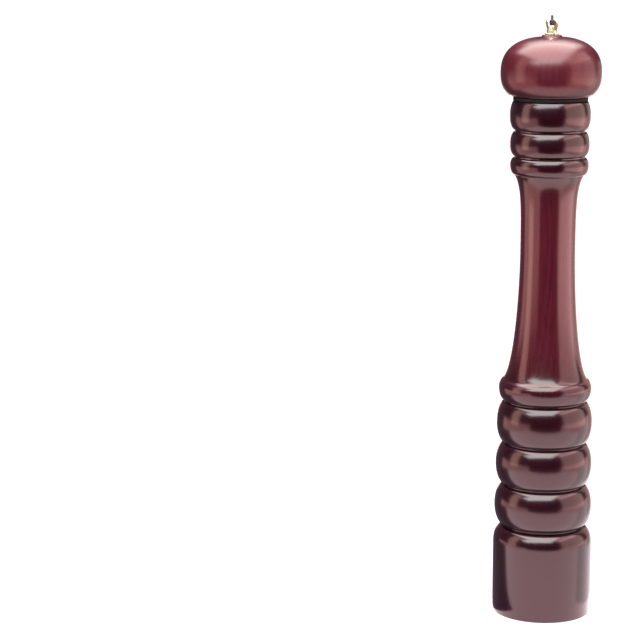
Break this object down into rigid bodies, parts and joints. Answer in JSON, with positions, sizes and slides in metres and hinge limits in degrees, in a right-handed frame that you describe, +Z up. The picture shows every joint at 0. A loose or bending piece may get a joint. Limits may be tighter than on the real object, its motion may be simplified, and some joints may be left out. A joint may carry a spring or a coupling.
{
  "type": "pepper mill",
  "caption": "Tall turned-wood pepper mill with a mushroom head that turns a steel burr on a square shaft, its grind set by a brass wing nut on top.",
  "frame": {"origin": "centre of the foot's flat underside, on the mill's axis", "axes": "+Z up along the mill's axis; +X along the cross bar to its right-hand screw; +Y away from the viewer"},
  "size_m": [0.0698, 0.0698, 0.4225],
  "materials": {
    "stained_wood": "red-brown stain under satin-gloss lacquer",
    "black_fibre": "matt",
    "brass": "bright, slightly worn",
    "dark_steel": "oil-darkened",
    "plate_steel": "satin",
    "burr_steel": "machined, case-hardened"
  },
  "bodies": {
    "base": {"body": "stained_wood", "ring_burr": "burr_steel", "burr_case": "plate_steel", "guide_bridge": "plate_steel", "cross_bar": "plate_steel", "cross_bar_bush": "brass", "cross_bar_screw_left": "plate_steel", "cross_bar_screw_right": "plate_steel"},
    "turning_ring": {"turn_washer": "black_fibre"},
    "rotor": {"drive_shaft": "dark_steel", "cone_burr": "burr_steel", "thrust_washer": "plate_steel", "retaining_clip": "dark_steel", "spring_seat": "plate_steel", "burr_spring": "plate_steel"},
    "top": {"head": "stained_wood", "drive_plate": "plate_steel", "drive_plate_screw_left": "plate_steel", "drive_plate_screw_right": "plate_steel"},
    "nut_seat": {"nut_washer": "brass"},
    "nut": {"wing_nut": "brass"}
  },
  "joints": [
    {"name": "head_turn", "type": "hinge", "parent": "base", "child": "turning_ring", "pos_m": [0, 0, 0.3655], "axis": [0, 0, 1], "continuous": true},
    {"name": "grind_adjust", "type": "slide", "parent": "turning_ring", "child": "rotor", "axis": [0, 0, 1], "range_m": [-0.00087, 0.00052], "deforming": ["burr_spring"]},
    {"name": "head_lift", "type": "slide", "parent": "turning_ring", "child": "top", "axis": [0, 0, 1], "range_m": [0, 0.085]},
    {"name": "nut_lift", "type": "slide", "parent": "top", "child": "nut_seat", "axis": [0, 0, 1], "range_m": [0, 0.025]},
    {"name": "nut_turn", "type": "hinge", "parent": "nut_seat", "child": "nut", "pos_m": [0, 0, 0.4129], "axis": [0, 0, 1], "range_deg": [-270, 450]}
  ],
  "couplings": [
    {"joint": "nut_turn", "follows": "grind_adjust", "rad_per_m": -8976}
  ]
}
